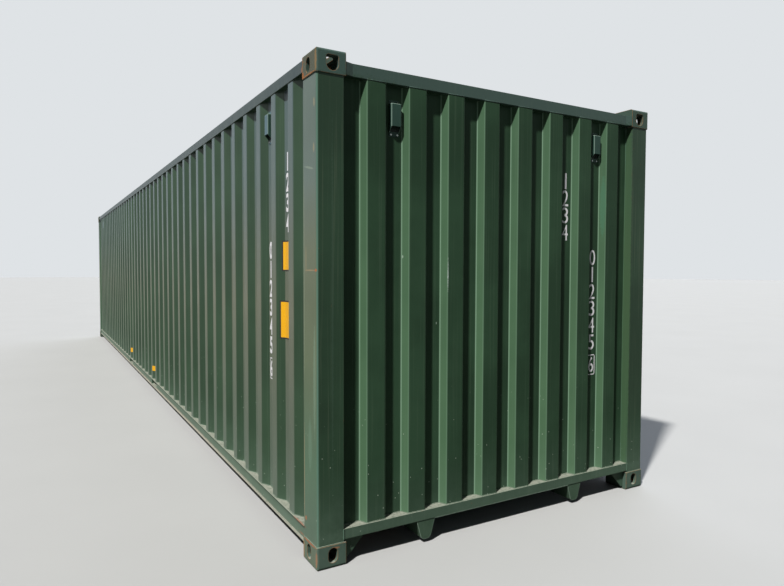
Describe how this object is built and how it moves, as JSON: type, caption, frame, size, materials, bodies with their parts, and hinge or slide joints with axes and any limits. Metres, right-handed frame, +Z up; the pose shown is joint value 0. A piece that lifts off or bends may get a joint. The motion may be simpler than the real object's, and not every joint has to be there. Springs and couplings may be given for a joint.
{
  "type": "shipping container",
  "caption": "Forty-foot dry freight container with corrugated steel walls and roof, corner castings, fork pockets, a gooseneck recess and closed double doors.",
  "frame": {"origin": "on the ground under the middle of the box", "axes": "+X along the length towards the blind front end, -X towards the doors, +Y across the width, +Z up"},
  "size_m": [12.192, 2.438, 2.591],
  "materials": {
    "wall_paint": "satin dark green paint",
    "frame_paint": "satin dark green paint",
    "casting_paint": "dark green paint over a cast surface",
    "base_paint": "dull dark green paint",
    "gear_paint": "satin dark green paint",
    "rod_steel": "dull zinc-coated steel",
    "seal_rubber": "matte black rubber",
    "floor_wood": "worn brown plywood"
  },
  "bodies": {
    "root": {"casting_bottom_front_right": "casting_paint", "casting_bottom_front_left": "casting_paint", "casting_bottom_rear_right": "casting_paint", "casting_bottom_rear_left": "casting_paint", "casting_top_front_right": "casting_paint", "casting_top_front_left": "casting_paint", "casting_top_rear_right": "casting_paint", "casting_top_rear_left": "casting_paint", "posts_front": "frame_paint", "posts_rear": "frame_paint", "front_sill": "frame_paint", "front_top_rail": "frame_paint", "sill_gussets": "frame_paint", "door_sill": "frame_paint", "door_header": "frame_paint", "door_corner_blocks": "frame_paint", "bottom_rail_right": "frame_paint", "bottom_rail_left": "frame_paint", "top_rails": "frame_paint", "front_wall": "wall_paint", "side_wall_right": "wall_paint", "side_wall_left": "wall_paint", "roof": "wall_paint", "roof_end_plates": "wall_paint", "floor": "floor_wood", "cross_members": "base_paint", "tunnel_bows": "base_paint", "tunnel_beams": "base_paint", "tunnel_deck": "base_paint", "fork_pockets": "base_paint", "door_frame_right": "frame_paint", "door_frame_left": "frame_paint", "door_panel_right": "wall_paint", "door_panel_left": "wall_paint", "door_seals": "seal_rubber", "lock_rods": "rod_steel", "rod_guides": "gear_paint", "lock_keepers": "gear_paint", "door_handles": "rod_steel", "handle_catches": "gear_paint", "hinge_lugs": "gear_paint", "hinge_straps": "gear_paint", "wall_vents": "wall_paint"}
  },
  "joints": []
}
